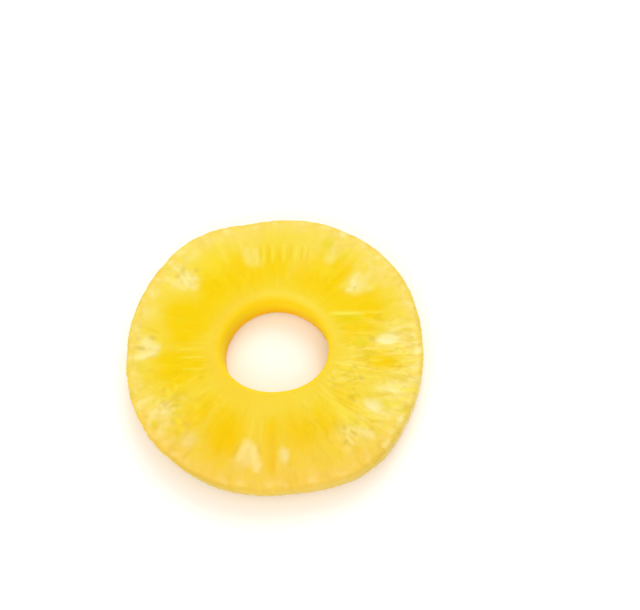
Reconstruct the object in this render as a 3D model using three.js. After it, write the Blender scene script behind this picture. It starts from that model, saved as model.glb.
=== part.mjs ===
// A pineapple ring: one slice across a peeled and cored pineapple, lying on its lower cut face.
// Millimetres, +Z up. The origin is the middle of the slice's outline, on the plane it lies on.
// A turn is in degrees about +Z from +X, and a reach is a distance from the fruit's own axis.
//
// On the cut faces, sunken wedges of fibre start near the hole and widen outwards, with smooth swollen
// petals between them. Each wedge holds an eye: the open seed chamber of one of the fruit's fruitlets.

import * as THREE from "three";

// ---- Driving dimensions ----
const RING_RADIUS = 40.5;
const HOLE_RADIUS = 13.75;
const THICKNESS = 8.6;
const RIM_ROUND = 1.4; // round on the two outer edges
const HOLE_ROUND = 1.5; // round on the hole's two edges
const HOLE_OFFSET = { x: -0.4, y: -0.15 }; // the corer ran a little off the middle
const LEAN = { x: -1.1, y: 0.1 }; // how far the upper face is set over from the lower one
const TAPER = 1.1; // the lower face's outline is this much smaller in radius
const BARREL = 0.3; // how far the outer wall bulges at mid-height

// The outline and the hole are circles with a few broad lobes, each with a crest at its turn.
const OUTLINE_LOBES = [
  { waves: 1, size: 0.17, crest: 174 },
  { waves: 3, size: 0.13, crest: 40 },
  { waves: 4, size: 0.63, crest: 44 },
  { waves: 6, size: 0.21, crest: 9 },
  { waves: 8, size: 0.16, crest: 35 },
];
const HOLE_LOBES = [
  { waves: 2, size: 0.6, crest: 176.5 },
  { waves: 3, size: 0.24, crest: 98.5 },
];
const SLAB_WAVE = { waves: 2, size: 0.2, crest: 60 }; // the knife left the slice this much uneven

// ---- Eyes: the place of each seed chamber, its length along the fibres, its width, its wedge's spread ----
const EYES = [
  { turn: 3.6, reach: 30.1, length: 6.9, width: 4.2, spread: 7 },
  { turn: 39.5, reach: 28.8, length: 7.4, width: 6.4, spread: 5 },
  { turn: 61, reach: 32, length: 7.4, width: 3.6, spread: 4 },
  { turn: 105, reach: 28.6, length: 8.4, width: 4.4, spread: 5.5 },
  { turn: 141.5, reach: 32, length: 8.2, width: 6.6, spread: 4.5 },
  { turn: 181.5, reach: 34, length: 7.4, width: 6.6, spread: 4 },
  { turn: 213, reach: 32.6, length: 6.4, width: 5.6, spread: 4.5 },
  { turn: 231, reach: 34, length: 5.4, width: 4.6, spread: 3.5 },
  { turn: 259.2, reach: 31.2, length: 7.6, width: 6.2, spread: 4 },
  { turn: 275.5, reach: 30.4, length: 5.6, width: 3.4, spread: 3 },
  { turn: 308, reach: 31.5, length: 7.6, width: 6.4, spread: 4.5 },
  { turn: 327.8, reach: 30.2, length: 6.2, width: 3.6, spread: 5.5 },
];
const EYE_DEPTH = 1.0;
const EYE_TAPER = 0.4; // an eye's inner end is narrower by this share and its outer end wider
const EYE_RIM_SHARE = 0.12; // on the lower face, an eye starts where its share passes this

// ---- Relief of the upper face and the walls ----
const PETAL_SWELL = 0.45; // the petals stand this far above the wedges
const WEDGE_ROOT = 17; // reach at which the wedges start
const WEDGE_ROOT_WIDTH = 0.9;
const FURROWS = 42; // furrows between bundles of fibre, round the whole face
const FURROW_DEPTH = 0.16;
const PETAL_FURROW_SHARE = 0.4; // how deep the furrows run in the petals, beside the wedges
const BORDER_FALL = 0.35; // the face falls this far over its outer border
const BORDER_WIDTH = 6;
const SCALLOP_DEPTH = 0.15; // hollow left on the outer wall outside each eye
const SCALLOP_WIDTH = 2.6;

// ---- Mesh steps ----
const AROUND = 150;
const TOP_STEPS = 14;
const BOTTOM_STEPS = 7;
const ROUND_STEPS = 3;
const WALL_STEPS = 3;

const FLESH = new THREE.MeshStandardMaterial({
  name: "flesh",
  color: new THREE.Color().setRGB(0.97, 0.68, 0.04),
  roughness: 0.38,
  metalness: 0,
});

const { clamp, degToRad, lerp, smoothstep } = THREE.MathUtils;
const bell = (distance, width) => Math.exp(-((distance / width) ** 2));
const lobe = ({ waves, size, crest }, angle) => size * Math.cos(waves * (angle - degToRad(crest)));
const sumOf = (list, value) => list.reduce((sum, one) => sum + value(one), 0);
const largestOf = (list, value) => Math.max(...list.map(value));

// A point's place beside an eye's own radius: out along it from the axis, and across it.
function besideEye(eye, reach, angle) {
  const off = angle - degToRad(eye.turn);
  return { out: reach * Math.cos(off), across: reach * Math.sin(off) };
}

// 1 in the middle of an eye and 0 well outside it. The eye is a teardrop with its point to the hole.
function eyeShare(eye, reach, angle) {
  const { out, across } = besideEye(eye, reach, angle);
  const along = out - eye.reach;
  const stretch = clamp((2 * along) / eye.length, -1, 1);
  const halfWidth = (eye.width / 2) * (1 + EYE_TAPER * stretch);
  return bell(along, eye.length / 2) * bell(across, halfWidth);
}

// 1 along the middle line of an eye's wedge of fibre, 0 in the petals beside it and across the ring.
function wedgeShare(eye, reach, angle) {
  const { out, across } = besideEye(eye, reach, angle);
  const grown = smoothstep(out, WEDGE_ROOT, eye.reach);
  return grown * bell(across, lerp(WEDGE_ROOT_WIDTH, eye.spread, grown));
}

// Height of the upper face over its flat plane.
function upperRelief(reach, angle, outline) {
  const wedge = largestOf(EYES, (eye) => wedgeShare(eye, reach, angle));
  const eye = largestOf(EYES, (one) => eyeShare(one, reach, angle));
  const border = smoothstep(reach, outline - BORDER_WIDTH, outline);
  const furrowShare = lerp(PETAL_FURROW_SHARE, 1, wedge) * smoothstep(reach, WEDGE_ROOT, outline);
  const furrow = FURROW_DEPTH * Math.cos(FURROWS * angle) * furrowShare;
  return furrow - PETAL_SWELL * wedge - EYE_DEPTH * eye - BORDER_FALL * border;
}

// Height of the lower face over the plane that the slice lies on: flat, with the eyes as pits up into it.
function lowerRelief(reach, angle) {
  const eye = largestOf(EYES, (one) => eyeShare(one, reach, angle));
  return EYE_DEPTH * Math.max(0, eye - EYE_RIM_SHARE);
}

// Reach of the outer wall at the upper face, with a scallop outside each eye.
function outlineReach(angle) {
  const scallops = sumOf(EYES, (eye) => {
    const { out, across } = besideEye(eye, RING_RADIUS, angle);
    return out > 0 ? bell(across, SCALLOP_WIDTH) : 0;
  });
  return RING_RADIUS + sumOf(OUTLINE_LOBES, (one) => lobe(one, angle)) - SCALLOP_DEPTH * scallops;
}

// Reach of the wall of the hole, which stands off the fruit's axis.
function holeReach(angle) {
  const shift = HOLE_OFFSET.x * Math.cos(angle) + HOLE_OFFSET.y * Math.sin(angle);
  return HOLE_RADIUS + shift + sumOf(HOLE_LOBES, (one) => lobe(one, angle));
}

// The section of a plain slice on one side of its axis, as a closed loop of points: out over the upper
// face, down the outer wall, in under the lower face and up the hole. upper and lower say how much of
// each face's relief a point takes.
function plainSection(inner, outer, top) {
  const points = [];
  const add = (reach, height, upper, lower) => points.push({ reach, height, upper, lower });
  const rounding = (step, size) => {
    const turn = (step / ROUND_STEPS) * (Math.PI / 2);
    return { in: size * (1 - Math.sin(turn)), down: size * (1 - Math.cos(turn)), level: Math.cos(turn) };
  };

  for (let i = 0; i < TOP_STEPS; i++) {
    add(lerp(inner + HOLE_ROUND, outer - RIM_ROUND, i / (TOP_STEPS - 1)), top, 1, 0);
  }
  for (let i = 1; i <= ROUND_STEPS; i++) {
    const edge = rounding(i, RIM_ROUND);
    add(outer - edge.in, top - edge.down, edge.level, 0);
  }
  for (let i = 1; i < WALL_STEPS; i++) {
    const bulge = BARREL * Math.sin((Math.PI * i) / WALL_STEPS);
    add(outer + bulge, lerp(top - RIM_ROUND, RIM_ROUND, i / WALL_STEPS), 0, 0);
  }
  for (let i = ROUND_STEPS; i > 0; i--) {
    const edge = rounding(i, RIM_ROUND);
    add(outer - edge.in, edge.down, 0, 0);
  }
  for (let i = 0; i < BOTTOM_STEPS; i++) {
    add(lerp(outer - RIM_ROUND, inner + HOLE_ROUND, i / (BOTTOM_STEPS - 1)), 0, 0, 1);
  }
  for (let i = 1; i <= ROUND_STEPS; i++) {
    const edge = rounding(i, HOLE_ROUND);
    add(inner + edge.in, edge.down, 0, 0);
  }
  for (let i = 1; i < WALL_STEPS; i++) {
    add(inner, lerp(HOLE_ROUND, top - HOLE_ROUND, i / WALL_STEPS), 0, 0);
  }
  for (let i = ROUND_STEPS; i > 0; i--) {
    const edge = rounding(i, HOLE_ROUND);
    add(inner + edge.in, top - edge.down, edge.level, 0);
  }
  return points;
}

// One column of the skin: the section at an angle with its relief, drawn in below and leaning.
function column(angle) {
  const inner = holeReach(angle);
  const outer = outlineReach(angle);
  const top = THICKNESS + lobe(SLAB_WAVE, angle);
  return plainSection(inner, outer, top).map(({ reach, height, upper, lower }) => {
    const relief = upper * upperRelief(reach, angle, outer) + lower * lowerRelief(reach, angle);
    const rise = height / THICKNESS;
    const drawnIn = TAPER * (1 - rise) * ((reach - inner) / (outer - inner));
    return new THREE.Vector3(
      (reach - drawnIn) * Math.cos(angle) + LEAN.x * (rise - 0.5),
      (reach - drawnIn) * Math.sin(angle) + LEAN.y * (rise - 0.5),
      height + relief,
    );
  });
}

// A closed skin over columns that stand round an axis, each a closed loop of as many points.
function ringSkin(columns) {
  const rows = columns[0].length;
  const index = [];
  const at = (c, r) => (c % columns.length) * rows + (r % rows);
  for (let c = 0; c < columns.length; c++) {
    for (let r = 0; r < rows; r++) {
      index.push(at(c, r), at(c, r + 1), at(c + 1, r));
      index.push(at(c + 1, r), at(c, r + 1), at(c + 1, r + 1));
    }
  }
  return new THREE.BufferGeometry().setFromPoints(columns.flat()).setIndex(index);
}

function pineappleRing() {
  const columns = Array.from({ length: AROUND }, (_, i) => column((i / AROUND) * 2 * Math.PI));
  const skin = ringSkin(columns);
  skin.computeBoundingBox();
  const middle = skin.boundingBox.getCenter(new THREE.Vector3());
  skin.translate(-middle.x, -middle.y, 0);
  skin.computeVertexNormals();
  const mesh = new THREE.Mesh(skin, FLESH);
  mesh.name = "pineapple_ring";
  return mesh;
}

const slice = new THREE.Group();
slice.name = "pineapple_slice";
slice.add(pineappleRing());

export default slice;
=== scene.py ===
"""A pineapple ring: one slice of peeled and cored fruit, lying flat on a pale floor.

The slice is one closed skin over a grid of turns round the fruit's axis and points round its section.
Its form follows the solid that it stands for, and adds the fibres, the ragged seed eyes and the marks
of the knife and the corer. Lengths are in millimetres until a mesh is made. Turns are written in degrees
about the fruit's axis, and a reach is a distance from that axis.
"""

import functools
import logging
import math
from collections.abc import Iterable
from dataclasses import dataclass, field
from enum import Enum
from typing import Any

import bpy
import numpy as np
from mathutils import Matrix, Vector


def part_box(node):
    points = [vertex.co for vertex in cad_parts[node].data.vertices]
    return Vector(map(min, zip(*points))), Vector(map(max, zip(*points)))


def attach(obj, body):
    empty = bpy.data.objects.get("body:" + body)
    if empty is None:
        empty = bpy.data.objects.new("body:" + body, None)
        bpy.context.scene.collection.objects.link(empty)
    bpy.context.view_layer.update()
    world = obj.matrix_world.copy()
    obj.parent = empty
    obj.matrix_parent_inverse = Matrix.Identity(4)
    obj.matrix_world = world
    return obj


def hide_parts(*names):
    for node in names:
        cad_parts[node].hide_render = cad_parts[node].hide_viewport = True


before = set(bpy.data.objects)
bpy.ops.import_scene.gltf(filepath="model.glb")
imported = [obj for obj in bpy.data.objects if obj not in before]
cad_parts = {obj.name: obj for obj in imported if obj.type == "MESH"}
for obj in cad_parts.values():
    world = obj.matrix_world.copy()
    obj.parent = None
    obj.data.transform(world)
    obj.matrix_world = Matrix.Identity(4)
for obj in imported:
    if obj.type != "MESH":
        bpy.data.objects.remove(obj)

MM = 0.001
BODY = "root"
NODE = "pineapple_ring"
SEED = 7
FULL_TURN = 2.0 * np.pi
RIGHT_ANGLE = np.pi / 2.0

Array = np.ndarray
Pair = tuple[float, float]
Triple = tuple[float, float, float]
log = logging.getLogger("pineapple")


# ---- Small functions on arrays ----


def bell(distance: Array, width: Array | float) -> Array:
    """Return a bell curve: e to the power of minus (distance over width) squared."""
    return np.exp(-((distance / width) ** 2))


def ramp(low: Array | float, high: Array | float, value: Array) -> Array:
    """Return 0 at low and 1 at high, with a smooth S, 3 squares less 2 cubes, between them."""
    share = np.clip((value - low) / (high - low), 0.0, 1.0)
    return share * share * (3.0 - 2.0 * share)


def between(start: Array | float, end: Array | float, share: Array) -> Array:
    """Return the value a given share of the way from start to end."""
    return start + (end - start) * share


def largest(values: Iterable[Array]) -> Array:
    """Return the largest value at each point."""
    return functools.reduce(np.maximum, values)


def turn_from(turn: float, angle: Array) -> Array:
    """Return how far angles lie from a turn, from minus half a full turn to half of one."""
    return (angle - math.radians(turn) + np.pi) % FULL_TURN - np.pi


@dataclass
class Places:
    """Where the skin's points lie on the slice.

    inner and outer are the reaches of the two walls, along is the length round the section, and turn is
    the turn of a point's fibre. owner numbers the nearest eye, cell is the share of the way across that
    eye's cell, and across and out are distances from the line along which the eye's fibres run.
    """

    reach: Array
    angle: Array
    inner: Array
    outer: Array
    along: Array
    turn: Array
    owner: Array
    cell: Array
    across: Array
    out: Array


# ---- Unevenness ----


class Unevenness:
    """Smooth seeded noise over two directions, which repeats after a whole number of cells."""

    ROWS = 128
    GAIN = 1.5

    def __init__(self, seed: int) -> None:
        """Start the draws from a seed, so that each run gives the same surface."""
        self.random = np.random.default_rng(seed)

    def draw(self, u: Array, v: Array, columns: int = 128) -> Array:
        """Work out gradient noise at each point of a grid.

        Each corner of a lattice has a random direction. A point's value is the mean of its slopes along
        the directions of its four corners, weighted by a smooth S of its place between them.

        Args:
            u: Place in lattice cells along the first direction.
            v: Place in lattice cells along the second.
            columns: Cells after which the first direction repeats.

        Returns:
            Values from about -1 to 1.
        """
        heading = self.random.random((columns, self.ROWS)) * FULL_TURN
        u, v = np.broadcast_arrays(u, v)
        column, row = np.floor(u).astype(int), np.floor(v).astype(int)
        du, dv = u - column, v - row

        def corner(right: int, up: int) -> Array:
            """Return the slope at a point along one corner's direction."""
            angle = heading[(column + right) % columns, (row + up) % self.ROWS]
            return np.cos(angle) * (du - right) + np.sin(angle) * (dv - up)

        across = ramp(0.0, 1.0, du)
        low = between(corner(0, 0), corner(1, 0), across)
        high = between(corner(0, 1), corner(1, 1), across)
        return self.GAIN * between(low, high, ramp(0.0, 1.0, dv))


@dataclass(frozen=True)
class Ripple:
    """Unevenness round the slice: how many cells a full turn has, and how long they are."""

    cells: int
    length: float
    bent: bool = False

    def drawn(self, noise: Unevenness, at: Places) -> Array:
        """Draw noise over the turns, or those of the fibres if it is bent, and over the section."""
        angle = at.turn if self.bent else at.angle
        return noise.draw(angle * (self.cells / FULL_TURN), at.along / self.length, self.cells)


@dataclass(frozen=True)
class Streak:
    """Unevenness along an eye's fibres: a cell's width and length, and the shift from eye to eye."""

    width: float
    length: float
    shift: float

    def drawn(self, noise: Unevenness, at: Places) -> Array:
        """Draw noise over the distances across and along the fibres of the nearest eye."""
        return noise.draw(at.across / self.width + self.shift * at.owner, at.out / self.length)


GRAINS: dict[str, Ripple | Streak] = {
    "bundles": Ripple(56, 14.0, bent=True),
    "fibres": Streak(1.7, 7.0, 9.0),
    "threads": Streak(1.0, 2.6, 5.0),
    "veins": Ripple(160, 8.0, bent=True),
    "grit": Ripple(120, 1.6),
    "flecks": Streak(1.2, 2.0, 7.0),
    "rim": Ripple(110, 5.0),
    "flutes": Ripple(260, 7.0),
    "drag": Ripple(90, 12.0),
}


# ---- Lobes, stretches and marks of the slice ----


@dataclass(frozen=True)
class Lobe:
    """A broad swelling, repeated round the slice."""

    waves: int
    size: float
    crest: float

    def at(self, angle: Array) -> Array:
        """Return size times the cosine of waves times the turn from the crest."""
        return self.size * np.cos(self.waves * (angle - np.radians(self.crest)))


@dataclass(frozen=True)
class Stretch:
    """A stretch of the ring, as wide to each side of its turn as its width, with its depth there."""

    turn: float
    width: float
    depth: float

    def inside(self, angle: Array) -> Array:
        """Return the depth at the stretch's turn, falling away as a bell of the turn from there."""
        return self.depth * bell(turn_from(self.turn, angle), math.radians(self.width))


def outside_of(stretches: tuple[Stretch, ...], angle: Array) -> Array:
    """Return 1, less the depth of every stretch, and not below 0."""
    return np.clip(1.0 - sum(stretch.inside(angle) for stretch in stretches), 0.0, 1.0)


@dataclass(frozen=True)
class Oval:
    """An oval on the face, whose length runs out from the fruit's axis."""

    turn: float
    reach: float
    length: float
    width: float

    def beside(self, reach: Array | float, angle: Array) -> tuple[Array, Array]:
        """Return how far out along the oval's own radius points lie, and how far across it."""
        off = angle - math.radians(self.turn)
        return reach * np.cos(off), reach * np.sin(off)

    def distance(self, at: Places, taper: float = 0.0) -> Array:
        """Work out how far points lie from the oval's middle, as a share of the way to its edge.

        The value is the root of the sum of two squares: the share along the oval, and the share across it.

        Args:
            at: The places of the points.
            taper: How much narrower the oval is at its end to the hole, and wider at its other end.

        Returns:
            0 in the middle and 1 on the edge.
        """
        out, across = self.beside(at.reach, at.angle)
        along = (out - self.reach) / (self.length / 2.0)
        half_width = self.width / 2.0 * (1.0 + taper * np.clip(along, -1.0, 1.0))
        return np.hypot(along, across / half_width)


class EyeKind(Enum):
    """How a seed chamber looks where the knife went through it."""

    OPEN = "a hollow with a pale lining"
    FLECKED = "a cluster of pale flecks and pits"
    STREAKED = "pale streaks along the fibres"


@dataclass(frozen=True)
class Eye(Oval):
    """A seed chamber, with the wedge of fibre that holds it and the pale fan that opens outside it.

    spread is the wedge's half width there. pale, fibrous and soft say how pale the lining is, how much
    the fibres show and how softly the lining ends, and grain is the turn of the fibres from its radius.
    """

    spread: float
    taper: float
    pale: float
    fibrous: float
    soft: float
    kind: EyeKind
    grain: float = 0.0

    FAN_SLOPE = 0.7
    FAN_EDGE = (0.4, 1.25)
    FAN_START = (-1.5, 2.5)
    PIT_WIDTH = 0.8
    PALE_EDGE = 0.75
    EDGE_FRAY = 0.15
    FLECK_FLOOR = 0.6
    FLECK_SPAN = (-0.4, 0.3)
    FLECK_PIT = 0.7
    FLECK_PIT_SPAN = (0.7, -0.7)
    STREAK_FLOOR = 0.3
    STREAK_SPAN = (-0.4, 0.4)
    STREAK_PIT = 0.3

    def wedge(self, at: Places, root: float, root_width: float) -> Array:
        """Work out the eye's wedge of fibre: a bell of the distance across, which widens outwards.

        Args:
            at: The places of the points.
            root: Reach at which the wedge starts.
            root_width: Its half width there.

        Returns:
            1 along the wedge and 0 beside it.
        """
        out, across = self.beside(at.reach, at.angle)
        grown = ramp(root, self.reach, out)
        return grown * bell(across, between(root_width, self.spread, grown))

    def fan(self, at: Places, ragged: Array) -> Array:
        """Work out the pale fan: a V that starts at the eye's point and opens to the outline.

        It is as wide as the eye up to the eye's middle, and widens at an even rate outside that.

        Args:
            at: The places of the points.
            ragged: What is added to the share of the half width, for an uneven edge.

        Returns:
            1 inside the fan and 0 well outside it.
        """
        out, across = self.beside(at.reach, at.angle)
        half_width = self.width / 2.0 + self.FAN_SLOPE * np.clip(out - self.reach, 0.0, None)
        edge = 1.0 - ramp(*self.FAN_EDGE, np.abs(across) / half_width + ragged)
        return ramp(*self.FAN_START, out - self.reach + self.length / 2.0) * edge

    def cut(self, at: Places, streak: Array, fleck: Array) -> tuple[Array, Array]:
        """Work out the pale lining and the hollow where the knife went through the eye.

        The lining ends as a smooth S of the distance from the middle, and the hollow is a bell of it.
        Flecks or streaks, by the kind of eye, break both up.

        Args:
            at: The places of the points.
            streak: Noise drawn out along the fibres.
            fleck: Noise in small round cells.

        Returns:
            Two arrays from 0 to 1: pale and hollow.
        """
        off = self.distance(at, self.taper)
        hollow = bell(off, self.PIT_WIDTH)
        if self.kind is EyeKind.OPEN:
            off = off + self.EDGE_FRAY * streak
        pale = self.pale * (1.0 - ramp(self.PALE_EDGE - self.soft, self.PALE_EDGE + self.soft, off))
        if self.kind is EyeKind.FLECKED:
            pale = pale * between(self.FLECK_FLOOR, 1.0, ramp(*self.FLECK_SPAN, fleck))
            hollow = self.FLECK_PIT * hollow * ramp(*self.FLECK_PIT_SPAN, fleck)
        elif self.kind is EyeKind.STREAKED:
            pale = pale * between(self.STREAK_FLOOR, 1.0, ramp(*self.STREAK_SPAN, streak))
            hollow = self.STREAK_PIT * hollow
        return pale, hollow


EYES = (
    Eye(3.6, 30.3, 7.8, 4.1, 7, 0.1, 1, 1, 0.36, EyeKind.OPEN),
    Eye(39.5, 29, 7.6, 6.6, 5, 0.2, 0.6, 0.35, 0.72, EyeKind.OPEN),
    Eye(61, 32, 7.4, 3.6, 4, 0.2, 0.18, 0.25, 0.65, EyeKind.STREAKED),
    Eye(104.6, 28.8, 8.4, 4.8, 5.5, 0, 0.36, 0.5, 0.65, EyeKind.STREAKED),
    Eye(141.5, 32, 8.2, 6.6, 4.5, 0.2, 0.5, 0.15, 0.65, EyeKind.FLECKED),
    Eye(181.5, 34, 7.4, 6.6, 4, 0.6, 0.45, 0.35, 0.6, EyeKind.OPEN),
    Eye(213, 32.6, 6.4, 5.6, 4.5, 0.2, 0.3, 0.5, 0.65, EyeKind.FLECKED),
    Eye(230.6, 33.8, 5.4, 5.2, 3.5, 0.2, 0.46, 0.3, 0.7, EyeKind.OPEN),
    Eye(259.2, 31.2, 7.6, 6.2, 4, 0.55, 0.55, 0.45, 0.55, EyeKind.OPEN),
    Eye(275.5, 30.4, 5.6, 3.4, 3, 0.1, 0.85, 0.35, 0.6, EyeKind.OPEN),
    Eye(308, 31.5, 7.6, 6.4, 4.5, 0.3, 0.35, 0.6, 0.65, EyeKind.FLECKED),
    Eye(326.8, 30.8, 6.8, 4.2, 5.5, 0.2, 0.95, 0.85, 0.6, EyeKind.OPEN, 24),
)


@dataclass(frozen=True)
class Patch(Oval):
    """A broad soft patch of flesh, deeper or paler than the rest."""

    strength: float

    SOFTNESS = 1.05

    def share(self, at: Places, ragged: Array) -> Array:
        """Return the patch's strength in its middle, falling softly to 0 past its edge."""
        return self.strength * bell(self.distance(at) + ragged, self.SOFTNESS)


PETALS = (
    Patch(163, 27, 19, 11.5, 1), Patch(150, 20.5, 10, 10, 0.9), Patch(124, 23.5, 19, 14.5, 1.15),
    Patch(110, 20.5, 10, 11, 0.95), Patch(92, 24, 13, 10.5, 0.55), Patch(61, 22, 14, 11.5, 1.1),
    Patch(52, 28.5, 15, 5.5, 1.2), Patch(28, 29, 20, 9, 1.8), Patch(42, 20, 9, 12, 1.1),
    Patch(13, 22.5, 11, 10, 0.85), Patch(17, 29, 11, 6, 0.6), Patch(2, 22, 8, 5, 0.6),
    Patch(350, 31.5, 15, 6, 1), Patch(341, 32.5, 6, 2.6, 0.3), Patch(320, 24, 9, 7, 0.5),
    Patch(301, 34.5, 8, 5, 0.5), Patch(302, 24.5, 12, 7.5, 0.6), Patch(289, 26, 16, 11, 0.45),
    Patch(270.5, 24, 8, 5, 0.5), Patch(243.5, 31, 17, 8.5, 1), Patch(236, 24.5, 9, 9, 0.4),
    Patch(224, 26.5, 13, 6, 0.45), Patch(195, 29.5, 19, 10, 1.15), Patch(204, 24, 10, 8, 0.25),
    Patch(172, 25, 9, 10, 0.7),
)
FROST = (
    Patch(41, 31, 11, 7, 0.36), Patch(143, 35.5, 9, 8, 0.6), Patch(154, 37, 5, 8, 0.3),
    Patch(130, 36.5, 5, 7, 0.45), Patch(180, 35.5, 7, 6, 0.6), Patch(214, 34.6, 6.5, 7.5, 0.65),
    Patch(206, 36.5, 5, 5, 0.45), Patch(231, 33.8, 5, 5, 0.4), Patch(72, 29, 17, 6.5, 0.25),
    Patch(285, 33, 10, 9, 0.25), Patch(258.8, 31, 9, 5, 0.55), Patch(310, 30.5, 7, 6, 0.5),
    Patch(338, 34.5, 9, 9, 0.8), Patch(328, 36.5, 7, 6, 0.5), Patch(352, 36.5, 5, 6, 0.15),
    Patch(6, 33, 8, 7, 0.75), Patch(120, 37.2, 5, 9, 0.4), Patch(165, 35.8, 7, 9, 0.4),
    Patch(177, 37.6, 4, 7, 0.4), Patch(221, 37.6, 4, 5, 0.55),
)


@dataclass(frozen=True)
class Fleck(Oval):
    """A small stain, hollow or pale cell; olive stains are partly painted shade beside hollows and raised
    strands.
    """

    strength: float

    EDGE = (0.2, 1.25)
    RAGGED = 0.35

    def share(self, at: Places, grit: Array) -> Array:
        """Return the fleck's strength in its middle and 0 outside its ragged edge."""
        return self.strength * (1.0 - ramp(*self.EDGE, self.distance(at) + self.RAGGED * grit))


@dataclass(frozen=True)
class Strand:
    """One strand that shows by itself, drawn as a straight line between two places on the face."""

    turn: float
    reach: float
    end_turn: float
    end_reach: float
    width: float
    strength: float

    FADE_POWER = 4
    RAGGED = 0.2

    def share(self, at: Places, grit: Array) -> Array:
        """Work out how much points belong to the strand.

        The value is a bell of the distance to the line between the two ends, over the strand's width. It
        fades towards the ends as one minus the fourth power of the way from the middle.

        Args:
            at: The places of the points.
            grit: Noise in small cells, for an uneven edge.

        Returns:
            The strand's strength on its line, and 0 off it.
        """
        x, y = at.reach * np.cos(at.angle), at.reach * np.sin(at.angle)
        turns, reaches = np.radians([self.turn, self.end_turn]), np.array([self.reach, self.end_reach])
        (x0, x1), (y0, y1) = reaches * np.cos(turns), reaches * np.sin(turns)
        run_x, run_y = x1 - x0, y1 - y0
        along = np.clip(((x - x0) * run_x + (y - y0) * run_y) / (run_x**2 + run_y**2), 0.0, 1.0)
        off = np.hypot(x - x0 - along * run_x, y - y0 - along * run_y) / self.width
        fade = 1.0 - (2.0 * along - 1.0) ** self.FADE_POWER
        return self.strength * bell(off + self.RAGGED * grit, 1.0) * fade


class MarkKind(Enum):
    """What a single mark on the face is, with the name of its share."""

    LINE = "lines"
    GAP = "gaps"
    PALE = "mark"
    OLIVE = "olive"
    AMBER = "amber"
    BRIGHT = "bright"
    SHADED = "shaded"


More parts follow.
